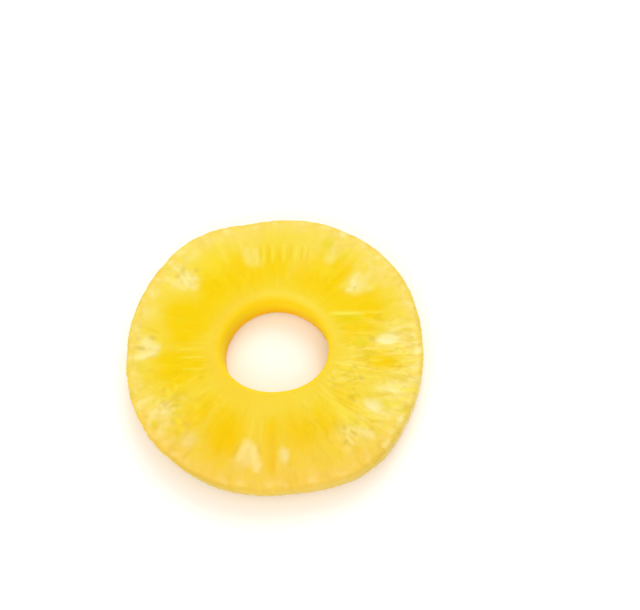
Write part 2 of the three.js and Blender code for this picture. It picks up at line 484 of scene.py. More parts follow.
MARKS: dict[MarkKind, tuple[Strand | Fleck, ...]] = {
    MarkKind.LINE: (
        Strand(33, 16.8, 20.6, 26.4, 0.66, 1.1), Strand(22.5, 25.2, 18, 31, 0.32, 0.6),
        Strand(26, 19.5, 16, 27.5, 0.28, 0.5), Strand(351.5, 33, 353.2, 38.5, 0.4, 0.8),
        Strand(311.5, 18.5, 316.5, 35, 0.5, 0.55), Strand(310, 22.5, 313.5, 34, 0.4, 0.45),
        Strand(256.5, 21, 257.5, 28, 0.36, 0.5), Strand(262, 20.5, 263.5, 27.5, 0.34, 0.4),
        Strand(188.4, 25.8, 190.8, 19.2, 0.34, 0.6), Strand(196, 25.6, 200.8, 19.6, 0.32, 0.45),
        Strand(183, 26.5, 183.5, 20.5, 0.32, 0.35), Strand(97.4, 31.8, 98.4, 25, 0.5, 0.5),
        Strand(92.8, 31.5, 93, 24.6, 0.42, 0.5), Strand(86.6, 31.6, 86.2, 25, 0.46, 0.6),
        Strand(80, 31.5, 78.8, 25.5, 0.42, 0.5),
    ),
    # Painted shade: dark lines along grooves between fibres, which the relief also sinks.
    MarkKind.GAP: (
        Strand(358.7, 24.5, 358.9, 33.5, 0.55, 0.7), Strand(348, 29.5, 350, 36.5, 0.4, 0.6),
        Strand(314, 21, 320, 34, 0.45, 0.45), Strand(331, 29.6, 336.4, 34.2, 0.5, 0.8),
        Strand(260.8, 27, 264.2, 30.6, 0.6, 0.9), Strand(253.3, 27.6, 252, 33, 0.6, 0.8),
        Strand(269.8, 24.5, 270, 36.5, 0.8, 0.8), Strand(186.6, 35.4, 185, 31.4, 0.7, 0.9),
        Strand(171.5, 36, 173.8, 31.5, 0.5, 0.5), Strand(99.2, 31.5, 100.6, 25.6, 0.42, 0.6),
        Strand(95, 31.5, 95.6, 25, 0.4, 0.5), Strand(89.8, 31, 89.8, 25.5, 0.36, 0.45),
        Strand(83, 31.2, 82.2, 25.4, 0.36, 0.5), Strand(77, 31, 75.4, 26, 0.38, 0.7),
        Strand(73.6, 31.2, 71.6, 26, 0.36, 0.6),
    ),
    MarkKind.PALE: (
        Strand(312.6, 31.2, 315.6, 37, 1.3, 0.6), Strand(318, 29, 318.5, 32, 0.9, 0.25),
        Strand(333.5, 28.2, 340, 34, 0.9, 0.45), Strand(325, 30.5, 326.5, 37, 1, 0.5),
        Strand(257.8, 26.6, 254.6, 34, 1.5, 0.75), Strand(258.6, 27.4, 263.8, 35, 1.4, 0.85),
        Strand(177.8, 36.6, 182.2, 30.6, 1.55, 0.8), Strand(185.8, 38.4, 182.4, 31, 1.45, 0.8),
        Strand(105.6, 32.6, 107.8, 25.2, 1.6, 0.34), Strand(102, 31.6, 103.8, 24.6, 1.3, 0.36),
        Strand(62.2, 37, 60.4, 28, 1.35, 0.35), Strand(39.4, 25.8, 45, 32, 1.6, 0.4),
        Strand(37.6, 27, 33, 32.4, 1.7, 0.35), Strand(139.4, 34.8, 143.6, 29.4, 2.6, 0.65),
        Strand(140.6, 31.4, 136.4, 30.4, 1.3, 0.7), Strand(147.5, 33, 146, 29.6, 0.9, 0.4),
        Fleck(41.3, 28.6, 4.2, 3.4, 0.95), Fleck(43.6, 30.6, 4.4, 1.9, 0.55),
        Fleck(212.4, 28.4, 2, 1.8, 0.3), Fleck(334, 17.6, 2.2, 1.8, 0.35), Fleck(211, 33.4, 3.6, 3.2, 0.4),
        Fleck(219.6, 35.4, 3.6, 3.4, 0.35), Fleck(211.5, 35.6, 2.8, 2.2, 0.4),
        Fleck(142.2, 29.4, 4, 3.4, 0.6), Fleck(141.6, 32.2, 4, 3, 0.75), Fleck(39.8, 26.2, 3.2, 3, 0.6),
        Fleck(263.8, 33.6, 3.6, 2.4, 0.8),
    ),
    # Olive flecks and lines: partly the flesh's own green specks, partly painted shade beside the eyes'
    # hollows and raised strands.
    MarkKind.OLIVE: (
        Strand(28, 17.4, 19.4, 25, 0.55, 0.9), Strand(23.4, 17.2, 16.6, 23.8, 0.85, 0.6),
        Fleck(213.6, 29.9, 2.6, 2.4, 0.6), Fleck(219.3, 33, 2, 4.4, 0.6), Fleck(225.6, 34.6, 2.2, 2.6, 0.6),
        Fleck(216.2, 37.8, 2.6, 3.2, 0.7), Fleck(190.8, 36, 4.2, 2, 0.5), Fleck(12.4, 36.5, 2.4, 1.8, 0.5),
        Fleck(2.1, 36.4, 2.4, 2, 0.45), Fleck(8, 35, 1.8, 1.4, 0.4), Fleck(356.2, 36.3, 2.6, 1.8, 0.5),
        Fleck(354, 37.3, 2, 1.8, 0.45), Fleck(352.7, 35.4, 1.8, 1.6, 0.4), Fleck(43, 37, 2.4, 3, 0.35),
        Fleck(217.3, 31.8, 2.6, 1.8, 0.75), Fleck(216.4, 28.7, 2.8, 1.4, 0.5),
        Fleck(221.6, 28.4, 2.8, 1.4, 0.5), Fleck(220.6, 25.4, 2.6, 1.3, 0.4),
        Fleck(208.4, 28.2, 2.4, 1.4, 0.4), Fleck(11, 34.9, 2, 1.6, 0.5), Fleck(2.6, 23.2, 4, 4, 1),
        Fleck(8.5, 29, 7, 2.2, 0.4), Fleck(329.9, 33.4, 4.8, 4.6, 0.62), Fleck(331.5, 38, 2.6, 2.2, 0.7),
        Fleck(65.2, 34.6, 5, 4.6, 0.75), Fleck(65.6, 29.5, 4, 2, 0.35), Fleck(54.3, 32.7, 4.2, 2.2, 0.45),
        Fleck(187.4, 36.8, 3.2, 2.2, 0.4), Fleck(165, 27, 4.2, 3.4, 0.25), Fleck(315.4, 30.2, 2.6, 2, 0.25),
        Fleck(306.5, 35.6, 3.6, 2.6, 0.5), Fleck(207.4, 34.7, 2.6, 1.6, 0.6),
    ),
    MarkKind.AMBER: (
        Fleck(207, 16.8, 5, 22, 0.8), Fleck(235, 16.4, 5, 14, 0.6), Fleck(178, 16.4, 5, 14, 0.7),
        Fleck(151, 16.4, 5, 14, 0.9), Fleck(125, 16.4, 5, 14, 0.7), Fleck(269.5, 30.5, 13, 2.8, 0.8),
        Fleck(224.6, 30, 5, 3.4, 0.5), Fleck(53, 31, 4, 2.6, 0.5), Fleck(307.4, 36.3, 3.4, 2, 0.8),
        Fleck(259.4, 33.6, 4.6, 2, 0.6),
    ),
    MarkKind.BRIGHT: (
        Fleck(125, 30, 10, 13, 0.45), Fleck(5, 23, 9, 9, 0.3), Fleck(61, 26.5, 7, 8, 0.35),
        Fleck(311, 28, 5, 5, 0.3), Fleck(342, 19.5, 5, 5, 0.4), Fleck(206.2, 30.7, 2.2, 2.6, 0.9),
        Fleck(205, 28.4, 1.6, 2.4, 0.7), Fleck(219.5, 30.7, 2, 2.2, 1), Fleck(221.6, 32.4, 1.8, 2.6, 1),
        Fleck(221.9, 26.4, 2.4, 2.2, 0.7), Fleck(226.4, 28.6, 2.2, 2.2, 0.6), Fleck(225.2, 33.2, 2, 2, 0.8),
        Fleck(216.1, 31.3, 1.6, 2, 0.6), Fleck(15.2, 35.8, 2.2, 2, 0.8),
    ),
    MarkKind.SHADED: (
        Fleck(4.2, 26.2, 2.2, 2, 0.8), Fleck(6.4, 33.4, 3, 1.8, 0.45), Fleck(39.4, 28, 1.3, 1.5, 0.55),
        Fleck(337.4, 24.6, 2.2, 1.6, 0.9), Fleck(343, 22, 1.8, 1.3, 0.6), Fleck(322.9, 25.7, 2, 1.6, 0.9),
        Fleck(308.7, 29.5, 1.3, 2, 0.5), Fleck(309.7, 32.2, 2.4, 1.6, 0.6),
        Fleck(304.5, 32.6, 1.3, 2.2, 0.6), Fleck(317.1, 34.2, 1.4, 1.8, 0.5),
        Fleck(214.6, 30.4, 2.2, 1.5, 0.5), Fleck(219.4, 31, 2.4, 1.5, 0.5),
        Fleck(224.8, 31.4, 1.5, 2.4, 0.45), Fleck(219.8, 33.8, 1.5, 2.2, 0.4),
        Fleck(204.6, 31.6, 1.6, 2.2, 0.5), Fleck(209.5, 33, 2.6, 1.4, 0.45),
        Fleck(208.8, 29, 1.6, 1.4, 0.35), Fleck(328, 18.2, 1.8, 1.4, 0.5), Fleck(139, 35.1, 1.9, 2.3, 0.6),
        Fleck(143, 35, 1.7, 2, 0.6), Fleck(134.6, 32.2, 1.8, 2.2, 0.7), Fleck(181, 36.4, 3.2, 1.9, 0.9),
        Fleck(176.2, 33.2, 2.4, 1.8, 0.8), Fleck(176.6, 37, 2, 1.6, 0.4),
    ),
}


# ---- The slice's form ----


@dataclass(frozen=True)
class SectionCounts:
    """Points on each stretch of the section."""

    wall: int = 9
    edge: int = 6
    top: int = 56
    bottom: int = 12


@dataclass(frozen=True)
class SectionRows:
    """Points round the slice's section, each as shares and insets, so that any turn can use them.

    share runs from the hole's wall, 0, to the outer wall, 1. inset is added to the reach, level runs from
    the lower face, 0, to the upper one, 1, and drop is added to the height. upper, lower, outside and
    inside say how much a point belongs to each face and wall.
    """

    share: Array
    inset: Array
    level: Array
    drop: Array
    upper: Array
    lower: Array
    outside: Array
    inside: Array

    @classmethod
    def wound(
        cls, hole_round: float, rim_round: float, barrel: float, counts: SectionCounts
    ) -> "SectionRows":
        """Wind the section from the foot of the hole's wall up, over, down and back under.

        The walls are straight lines with quarter circles at their ends, and the outer wall bulges by half
        a sine wave.

        Args:
            hole_round: Radius of the hole's rounded edges.
            rim_round: Radius of the outer rounded edges.
            barrel: Bulge of the outer wall.
            counts: Points on each stretch.

        Returns:
            The rows, as arrays.
        """

        def stretch(number: int, **columns: Array | float) -> Array:
            """Return one stretch of points, with 0 in each column that is not named."""
            names = cls.__dataclass_fields__
            return np.array([np.broadcast_to(columns.get(name, 0.0), number) for name in names])

        def rounded(turn: Array, size: float, share: int, level: int) -> Array:
            """Work out a rounded edge: size times (1 - sine) off its wall, and (1 - cosine) off its face.

            Args:
                turn: Turns of its normal from the face, up to a right angle at the wall.
                size: Its radius.
                share: 0 at the hole's wall and 1 at the outer one.
                level: 0 at the lower face and 1 at the upper one.

            Returns:
                The stretch of points.
            """
            off_wall, off_face = size * (1.0 - np.sin(turn)), size * (1.0 - np.cos(turn))
            return stretch(
                len(turn), share=share, inset=(1 - 2 * share) * off_wall,
                level=level, drop=(1 - 2 * level) * off_face,
                upper=level * np.cos(turn), lower=(1 - level) * np.cos(turn),
                outside=share * np.sin(turn), inside=(1 - share) * np.sin(turn),
            )

        def face(share: Array, **columns: float) -> Array:
            """Return a flat face between the rounded edges."""
            return stretch(len(share), share=share, inset=between(hole_round, -rim_round, share), **columns)

        up = np.linspace(0.0, 1.0, counts.wall, endpoint=False)
        turn = np.linspace(0.0, RIGHT_ANGLE, counts.edge, endpoint=False)
        late, turn = RIGHT_ANGLE - turn, turn[1:]
        stretches = [
            stretch(counts.wall, level=up, drop=hole_round * (1.0 - 2.0 * up), inside=1.0),
            rounded(late, hole_round, share=0, level=1),
            face(np.linspace(0.0, 1.0, counts.top), level=1.0, upper=1.0),
            rounded(turn, rim_round, share=1, level=1),
            stretch(
                counts.wall, share=1.0, inset=barrel * np.sin(np.pi * up), level=1.0 - up,
                drop=rim_round * (2.0 * up - 1.0), outside=1.0,
            ),
            rounded(late, rim_round, share=1, level=0),
            face(np.linspace(1.0, 0.0, counts.bottom), lower=1.0),
            rounded(turn, hole_round, share=0, level=0),
        ]
        return cls(*np.concatenate(stretches, axis=1))


@dataclass
class Relief:
    """What the flesh is like at each point: bundles is noise, and the rest are shares from 0 to 1."""

    bundles: Array
    fleshy: Array
    strength: Array
    fibrous: Array
    border: Array
    fan: Array
    crowded: Array
    pale: Array
    pits: Array
    marks: dict[MarkKind, Array]


@dataclass(frozen=True)
class Collar:
    """A band round the hole that shows on one side of it.

    It stands off the hole by its offset, and shows where the cosine of the turn from its own turn is
    high in its span.
    """

    offset: float
    width: float
    turn: float
    span: Pair

    def share(self, at: Places) -> Array:
        """Return 1 along the collar's middle on its own side of the hole, and 0 off it."""
        facing = ramp(*self.span, np.cos(at.angle - math.radians(self.turn)))
        return bell(at.reach - at.inner - self.offset, self.width) * facing


@dataclass(frozen=True)
class FleshZones:
    """Where each colour and texture of the flesh lies."""

    petal_start: Pair = (14.0, 21.0)
    petal_start_wander: float = 1.5
    petal_end: Pair = (26.0, 37.5)
    petal_end_wander: float = 2.5
    petal_end_fall: float = 0.85
    petal_fan_fall: float = 0.8
    petal_ragged: float = 0.12
    petal_floor: float = 0.3
    petal_fibre_fall: float = 0.8

    border_width: float = 7.5
    border_wander: float = 1.6
    border_rim: float = 1.0
    border_fan: float = 0.75
    border_fan_span: Pair = (28.0, 36.0)
    frost_ragged: float = 0.2
    edge_inset: float = 1.8
    edge_width: float = 0.8
    band_span: Pair = (0.5, 7.5)
    # Painted highlight: a lighter arc on the face just past the hole's rounded edge, on its far left side.
    lip: Collar = Collar(2.3, 0.9, 115, (-0.6, 0.4))
    # A deeper gold band round the hole on its far side.
    crease: Collar = Collar(5.0, 2.0, 90, (-0.2, 0.8))
    pit_shade: float = 0.3

    calm: tuple[Stretch, ...] = (Stretch(262, 38, 0.95), Stretch(98, 28, 0.8))
    busy_crowd: float = 0.8
    crinkled_fibre: float = 0.95
    crinkled_crowd: float = 0.6
    fibrous_fan: float = 0.6
    # Painted shade at the foot of the hole's wall: the heights, as shares of the thickness, where it starts
    # and where it is full.
    hole_foot: Pair = (0.65, 0.05)
    # Painted shade on the outer wall: full at the wall's foot, up to its top on these stretches of the near
    # side, and only partly there elsewhere.
    stained: tuple[Stretch, ...] = (Stretch(313, 16, 0.5), Stretch(242, 16, 0.9))
    unstained_top: float = 0.45

    def petals(self, at: Places, flesh: Relief) -> Array:
        """Work out where the flesh is a deep gold.

        The value is the petals' own shares, with a floor where the flesh has few fibres, times a smooth S
        past the hole and a fall towards the border and in the fans.

        Args:
            at: The places of the points.
            flesh: What the flesh is like there.

        Returns:
            The shares.
        """
        start = ramp(*self.petal_start, at.reach + self.petal_start_wander * flesh.bundles)
        end = ramp(*self.petal_end, at.reach + self.petal_end_wander * flesh.bundles)
        own = largest(petal.share(at, self.petal_ragged * flesh.bundles) for petal in PETALS)
        floor = self.petal_floor * (1.0 - self.petal_fibre_fall * flesh.strength)
        reached = (1.0 - self.petal_fan_fall * flesh.fan) * start * (1.0 - self.petal_end_fall * end)
        return reached * np.clip(own + floor, 0.0, 1.0)

    def shares(
        self, rows: SectionRows, rise: Array, at: Places, flesh: Relief,
        smooth: tuple[Stretch, ...], few_fibres: tuple[Stretch, ...],
    ) -> dict[str, Array]:
        """Work out the named shares that the finish reads.

        Args:
            rows: The points of the section.
            rise: Height of the points, before their relief, as a share of the thickness.
            at: The places of the points.
            flesh: What the flesh is like there.
            smooth: Stretches without fibres or cells.
            few_fibres: Stretches without fibres.

        Returns:
            The shares by name, each from 0 to 1.
        """
        past_hole, past_rim = at.reach - at.inner, at.reach - at.outer
        rim = ramp(self.border_wander * flesh.bundles - self.border_width, -self.border_rim, past_rim)
        in_fan = self.border_fan * flesh.fan * ramp(*self.border_fan_span, at.reach)
        frost = largest(patch.share(at, self.frost_ragged * flesh.bundles) for patch in FROST)
        fibres = flesh.fleshy * flesh.strength * outside_of(smooth + few_fibres, at.angle)
        crowd = flesh.crowded * outside_of(smooth, at.angle)
        busy = np.clip(flesh.border + self.busy_crowd * flesh.crowded, 0.0, 1.0)
        # How much painted shade reaches the outer wall's top.
        wall_top = between(1.0, self.unstained_top, outside_of(self.stained, at.angle))
        shaded = self.pit_shade * flesh.pits * (1.0 - flesh.pale)
        return {kind.value: share for kind, share in flesh.marks.items()} | {
            "fan": flesh.fan,
            "petal": self.petals(at, flesh),
            "border": np.maximum(rim, in_fan),
            "frost": frost * flesh.fleshy,
            "edge": bell(past_rim + self.edge_inset, self.edge_width) * rows.upper,
            "band": 1.0 - ramp(*self.band_span, past_hole + flesh.bundles),
            "mark": np.maximum(flesh.pale, flesh.marks[MarkKind.PALE]),
            "shaded": np.maximum(flesh.marks[MarkKind.SHADED], shaded),
            "lip": self.lip.share(at),
            "crease": self.crease.share(at),
            "crinkle": np.clip(self.crinkled_fibre * fibres + self.crinkled_crowd * crowd, 0.0, 1.0),
            "busy": busy * outside_of(self.calm, at.angle),
            "fibrous": np.maximum(flesh.fibrous, self.fibrous_fan * flesh.fan),
            "inside": np.broadcast_to(rows.inside, at.reach.shape),
            # Painted shade at the foot of the hole's wall.
            "deep": rows.inside * ramp(*self.hole_foot, rise),
            # Painted shade on the outer wall, full at its foot.
            "outside": rows.outside * between(1.0, wall_top, rise),
        }


@dataclass
class Skin:
    """The slice's surface: its points on the grid, and the named values that go with each point."""

    points: Array
    values: dict[str, Array]


@dataclass
class FruitSlice:
    """The whole slice, with its driving sizes."""

    ring_radius: float = 40.5
    hole_radius: float = 13.75
    thickness: float = 8.6
    rim_round: float = 1.4
    hole_round: float = 1.5
    hole_offset: Pair = (-0.4, -0.15)
    lean: Pair = (-1.1, 0.1)
    taper: float = 1.1
    barrel: float = 0.3
    outline_lobes: tuple[Lobe, ...] = (
        Lobe(1, 0.17, 174), Lobe(3, 0.13, 40), Lobe(4, 0.63, 44), Lobe(6, 0.21, 9), Lobe(8, 0.16, 35),
    )
    hole_lobes: tuple[Lobe, ...] = (Lobe(2, 0.6, 176.5), Lobe(3, 0.24, 98.5))
    slab_wave: Lobe = Lobe(2, 0.2, 60)

    eye_depth: float = 0.85
    petal_swell: float = 0.45
    wedge_root: float = 17.0
    wedge_root_width: float = 0.9
    border_fall: float = 0.35
    border_width: float = 6.0
    scallop_depth: float = 0.15
    scallop_width: float = 2.6

    bundle_height: float = 0.18
    fibre_height: float = 0.16
    thread_height: float = 0.06
    vein_share: float = 0.5
    grit_height: float = 0.07
    fan_grit: float = 0.5
    strand_height: float = 0.16
    shaded_depth: float = 0.35
    under_texture: float = 0.5
    rim_ragged: float = 0.14
    wall_flutes: float = 0.09
    wall_drag: float = 0.045

    flesh_start: Pair = (14.5, 21.0)
    cell_seam: float = 0.16
    smooth_floor: float = 0.35
    fan_wander: float = 0.25
    fan_fray: float = 0.15
    crowd_width: float = 1.1
    fibre_reach: float = 16.0
    least_weight: float = 1e-6
    smooth: tuple[Stretch, ...] = (
        Stretch(262, 30, 0.8), Stretch(98, 34, 0.8), Stretch(28, 15, 0.85), Stretch(142, 9, 0.55),
        Stretch(309, 7, 0.4),
    )
    few_fibres: tuple[Stretch, ...] = (Stretch(165, 22, 0.7),)
    level: Stretch = Stretch(354, 32, 0.8)
    level_fade: Pair = (0.6, 1.6)
    steepest: float = 0.98
    bend: float = 0.55
    grain_radius: float = 30.0
    owner_step: float = 17.0
    around: int = 920
    counts: SectionCounts = field(default_factory=SectionCounts)
    zones: FleshZones = field(default_factory=FleshZones)

    def hole_reach(self, angle: Array) -> Array:
        """Return the reach of the hole's wall: its radius, set off the middle, with its lobes."""
        shift = self.hole_offset[0] * np.cos(angle) + self.hole_offset[1] * np.sin(angle)
        return self.hole_radius + shift + sum(lobe.at(angle) for lobe in self.hole_lobes)

    def outline_reach(self, angle: Array) -> Array:
        """Work out the outer wall: its radius with its lobes, less a bell-shaped scallop at each eye.

        Args:
            angle: Turns about the axis.

        Returns:
            The reach of the wall.
        """
        scallops = np.zeros_like(angle)
        for eye in EYES:
            out, across = eye.beside(self.ring_radius, angle)
            scallops += np.where(out > 0.0, bell(across, self.scallop_width), 0.0)
        lobes = sum(lobe.at(angle) for lobe in self.outline_lobes)
        return self.ring_radius + lobes - self.scallop_depth * scallops

    def section_length(self, rows: SectionRows) -> Array:
        """Add up the steps round the section, for a slice without lobes.

        Args:
            rows: The points of the section.

        Returns:
            The length of section from its start to each point.
        """
        reach = between(self.hole_radius, self.ring_radius, rows.share) + rows.inset
        steps = np.hypot(np.diff(reach), np.diff(self.thickness * rows.level + rows.drop))
        return np.concatenate([[0.0], np.cumsum(steps)])

    def cells(self, angle: Array) -> tuple[Array, Array, Array]:
        """Give every turn to the nearest eye.

        Args:
            angle: Turns about the axis.

        Returns:
            The number of the eye, its turn, and the share of the way across its cell, from 0 to 1.
        """
        turns = np.radians([eye.turn for eye in EYES])
        turns = np.concatenate([turns[-1:] - FULL_TURN, turns, turns[:1] + FULL_TURN])
        middles = (turns[1:] + turns[:-1]) / 2.0
        angle = np.where(angle < middles[0], angle + FULL_TURN, angle)
        angle = np.where(angle > middles[-1], angle - FULL_TURN, angle)
        cell = np.clip(np.searchsorted(middles, angle), 1, len(EYES))
        share = (angle - middles[cell - 1]) / (middles[cell] - middles[cell - 1])
        return cell - 1, turns[cell], share

    def bent_turn(self, reach: Array, angle: Array, cell: Array) -> Array:
        """Bend the turns so that the fibres near an eye run more nearly along the eye's own radius.

        Across an eye's cell, the difference from its turn is a sine wave. It is taken off in proportion to
        how little of the ring's radius a point has reached. On the level stretch, where the knife met the
        fibres at a slant, a fibre also keeps its distance from the stretch's middle line: its turn is the
        one that it has where it crosses the grain radius.

        Args:
            reach: Distances from the axis.
            angle: Turns about the axis.
            cell: Shares of the way across the nearest eye's cell.

        Returns:
            The turn of each point's fibre.
        """
        off = np.sin(FULL_TURN * (cell - 0.5)) / len(EYES)
        near = np.clip(reach / self.ring_radius, 0.0, 1.0) ** self.bend - 1.0
        beside = turn_from(self.level.turn, angle)
        fade = ramp(*self.level_fade, np.abs(beside) / math.radians(self.level.width))
        crossing = np.clip(reach * np.sin(beside) / self.grain_radius, -self.steepest, self.steepest)
        return angle + near * off + self.level.depth * (1.0 - fade) * (np.arcsin(crossing) - beside)

    def places(self, rows: SectionRows) -> Places:
        """Work out where the skin's points lie, before relief.

        The first direction of the grid is the turn, and the second is the section.

        Args:
            rows: The points of the section.

        Returns:
            The places.
        """
        angle = np.linspace(0.0, FULL_TURN, self.around, endpoint=False)[:, None]
        inner, outer = self.hole_reach(angle), self.outline_reach(angle)
        reach = between(inner, outer, rows.share) + rows.inset
        angle, along = np.broadcast_arrays(angle, self.section_length(rows))
        owner, owner_turn, cell = self.cells(angle)
        beside = angle - owner_turn - np.radians([eye.grain for eye in EYES])[owner]
        turn = self.bent_turn(reach, angle, cell)
        across, out = reach * np.sin(beside), reach * np.cos(beside)
        return Places(reach, angle, inner, outer, along, turn, owner, cell, across, out)

    def fibre_strength(self, angle: Array) -> Array:
        """Work out how fibrous the flesh is: the eyes' values, weighted by a bell of the turn between.

        Args:
            angle: Turns about the axis.

        Returns:
            The shares.
        """
        total, weights = np.zeros_like(angle), np.zeros_like(angle)
        for eye in EYES:
            weight = bell(turn_from(eye.turn, angle), math.radians(self.fibre_reach)) + self.least_weight
            total, weights = total + weight * eye.fibrous, weights + weight
        return total / weights

    def relief(self, at: Places, drawn: dict[str, Array]) -> Relief:
        """Work out what the flesh is like at each point.

        Args:
            at: The places of the points.
            drawn: The unevenness, by name.

        Returns:
            The shares of flesh, fibre, border, fans, eyes and marks.
        """
        strength, fleshy = self.fibre_strength(at.angle), ramp(*self.flesh_start, at.reach)
        fibrous = fleshy * strength * ramp(0.0, self.cell_seam, np.minimum(at.cell, 1.0 - at.cell))
        kept = between(self.smooth_floor, 1.0, outside_of(self.smooth + self.few_fibres, at.angle))
        ragged = self.fan_wander * drawn["bundles"] + self.fan_fray * drawn["fibres"]
        flecked = [eye for eye in EYES if eye.kind is EyeKind.FLECKED]
        pale, pits = zip(*(eye.cut(at, drawn["threads"], drawn["flecks"]) for eye in EYES))
        return Relief(
            bundles=drawn["bundles"],
            fleshy=fleshy,
            strength=strength,
            fibrous=fibrous * kept,
            border=ramp(at.outer - self.border_width, at.outer, at.reach),
            fan=largest(eye.fan(at, ragged) for eye in EYES),
            crowded=largest(bell(eye.distance(at, eye.taper), self.crowd_width) for eye in flecked),
            pale=largest(pale),
            pits=largest(pits),
            marks={
                kind: largest(mark.share(at, drawn["grit"]) for mark in marks)
                for kind, marks in MARKS.items()
            },
        )

    def build(self) -> Skin:
        """Work out the slice's skin.

        A point is at reach times (cosine, sine) of its turn. Its reach runs from the hole to the outline,
        less the taper below, and its height runs from the floor to the thickness, plus the relief of the
        face that it lies on. The upper face is set over from the lower one by the lean.

        Returns:
            The points, with the shares and the fibres' own coordinates that the finish reads.
        """
        rows = SectionRows.wound(self.hole_round, self.rim_round, self.barrel, self.counts)
        at, noise = self.places(rows), Unevenness(SEED)
        drawn = {name: grain.drawn(noise, at) for name, grain in GRAINS.items()}
        flesh = self.relief(at, drawn)
        wedge = largest(eye.wedge(at, self.wedge_root, self.wedge_root_width) for eye in EYES)

        threads = drawn["threads"] * flesh.fibrous + self.vein_share * drawn["veins"] * flesh.fleshy
        texture = (
            self.bundle_height * flesh.bundles * flesh.fleshy
            + self.fibre_height * drawn["fibres"] * flesh.fibrous
            + self.thread_height * threads
            + self.grit_height * drawn["grit"] * (flesh.border + self.fan_grit * flesh.fan)
            + self.strand_height * (flesh.marks[MarkKind.LINE] - flesh.marks[MarkKind.GAP])
            - self.shaded_depth * self.eye_depth * flesh.marks[MarkKind.SHADED]
        )
        sunk = self.petal_swell * wedge + self.eye_depth * flesh.pits + self.border_fall * flesh.border
        under = self.eye_depth * flesh.pits + self.under_texture * np.abs(texture)
        height = (self.thickness + self.slab_wave.at(at.angle)) * rows.level + rows.drop
        rise = height / self.thickness
        height = height + rows.upper * (texture - sunk) + rows.lower * under

        outside = self.rim_ragged * drawn["rim"] + self.wall_flutes * drawn["flutes"]
        pushed = rows.outside * outside + rows.inside * self.wall_drag * drawn["drag"]
        drawn_in = np.clip((at.reach - at.inner) / (at.outer - at.inner), 0.0, 1.0)
        reach = at.reach + pushed - self.taper * (1.0 - rise) * drawn_in
        x = reach * np.cos(at.angle) + self.lean[0] * (rise - 0.5)
        y = reach * np.sin(at.angle) + self.lean[1] * (rise - 0.5)

        radius = self.grain_radius
        vectors = {
            "grain": (radius * np.cos(at.turn), radius * np.sin(at.turn), at.along),
            "strand": (at.across, at.out, self.owner_step * at.owner),
        }
        values = self.zones.shares(rows, rise, at, flesh, self.smooth, self.few_fibres)
        values |= {name: np.stack(parts, axis=-1) for name, parts in vectors.items()}
        return Skin(np.stack([x, y, height], axis=-1), values)


# ---- Meshes ----


@dataclass(frozen=True)
class GridMesh:
    """A closed ring of quads over a grid of points."""

    name: str
    points: Array

    def make(self) -> bpy.types.Object:
        """Make the mesh object: a quad joins each point to the next across and the next down.

        Returns:
            The object, at the origin.
        """
        columns, rows = self.points.shape[:2]
        column, row = np.meshgrid(np.arange(columns), np.arange(rows), indexing="ij")

        def index(right: int, down: int) -> Array:
            """Return the number of the point so far across and down the grid."""
            return ((column + right) % columns) * rows + (row + down) % rows

        quads = np.stack([index(0, 0), index(0, 1), index(1, 1), index(1, 0)], axis=-1).reshape(-1, 4)
        mesh = bpy.data.meshes.new(self.name)
        mesh.vertices.add(columns * rows)
        mesh.vertices.foreach_set("co", (self.points * MM).astype(np.float32).ravel())
        mesh.loops.add(quads.size)
        mesh.loops.foreach_set("vertex_index", quads.astype(np.int32).ravel())
        mesh.polygons.add(len(quads))
        mesh.polygons.foreach_set("loop_start", np.arange(0, quads.size, 4, dtype=np.int32))
        mesh.polygons.foreach_set("use_smooth", np.ones(len(quads), dtype=bool))
        mesh.update(calc_edges=True)
        mesh.validate()
        made = bpy.data.objects.new(self.name, mesh)
        bpy.context.scene.collection.objects.link(made)
        return made


def add_attribute(target: bpy.types.Object, name: str, values: Array) -> None:
    """Store values on a mesh's points.

    Args:
        target: The mesh object.
        name: The values' name.
        values: Numbers on the grid of points, or vectors where there is a third axis.
    """
    kind, key = ("FLOAT_VECTOR", "vector") if values.ndim == 3 else ("FLOAT", "value")
    attribute = target.data.attributes.new(name, kind, "POINT")
    attribute.data.foreach_set(key, values.astype(np.float32).ravel())


# ---- Shader maths ----


class Number:
    """A shader value that takes part in Python expressions, each adding a Math node."""

    def __init__(self, graph: "Graph", socket: bpy.types.NodeSocket) -> None:
        """Wrap a socket of a graph."""
        self.graph = graph
        self.socket = socket

    def _math(self, operation: str, first: Any, second: Any) -> "Number":
        """Add one Math node and return its value."""
        node = self.graph.add("ShaderNodeMath", {"operation": operation}, {0: first, 1: second})
        return Number(self.graph, node.outputs[0])

    def __add__(self, other: Any) -> "Number":
        """Return self + other."""
        return self._math("ADD", self, other)

    __radd__ = __add__

    def __sub__(self, other: Any) -> "Number":
        """Return self - other."""
        return self._math("SUBTRACT", self, other)

    def __rsub__(self, other: Any) -> "Number":
        """Return other - self."""
        return self._math("SUBTRACT", other, self)

    def __mul__(self, other: Any) -> "Number":
        """Return self * other."""
        return self._math("MULTIPLY", self, other)

    __rmul__ = __mul__

    def rising(self, low: float, high: float) -> "Number":
        """Add a map node: a smooth S of the value.

        Args:
            low: The value at which the S is 0.
            high: The value at which it is 1, which may be the lower of the two.

        Returns:
            The mapped value.
        """
        inputs = {"Value": self, "From Min": low, "From Max": high}
        node = self.graph.add("ShaderNodeMapRange", {"interpolation_type": "SMOOTHSTEP"}, inputs)
        return Number(self.graph, node.outputs["Result"])


class Blend(Enum):
    """How a tint meets the colour under it."""

    OVER = "MIX"
    THROUGH = "MULTIPLY"


@dataclass(frozen=True)
class Tint:
    """A colour, how much of it shows at most, and how it meets the one under it."""

    colour: Triple
    cover: float = 1.0
    blend: Blend = Blend.OVER


@dataclass(frozen=True)
class Pattern:
    """Noise in a finish: cells to a unit of its coordinates along each axis, and how they break up."""

    frequency: Triple
    detail: float = 1.0
    roughness: float = 0.5
    distortion: float = 0.0


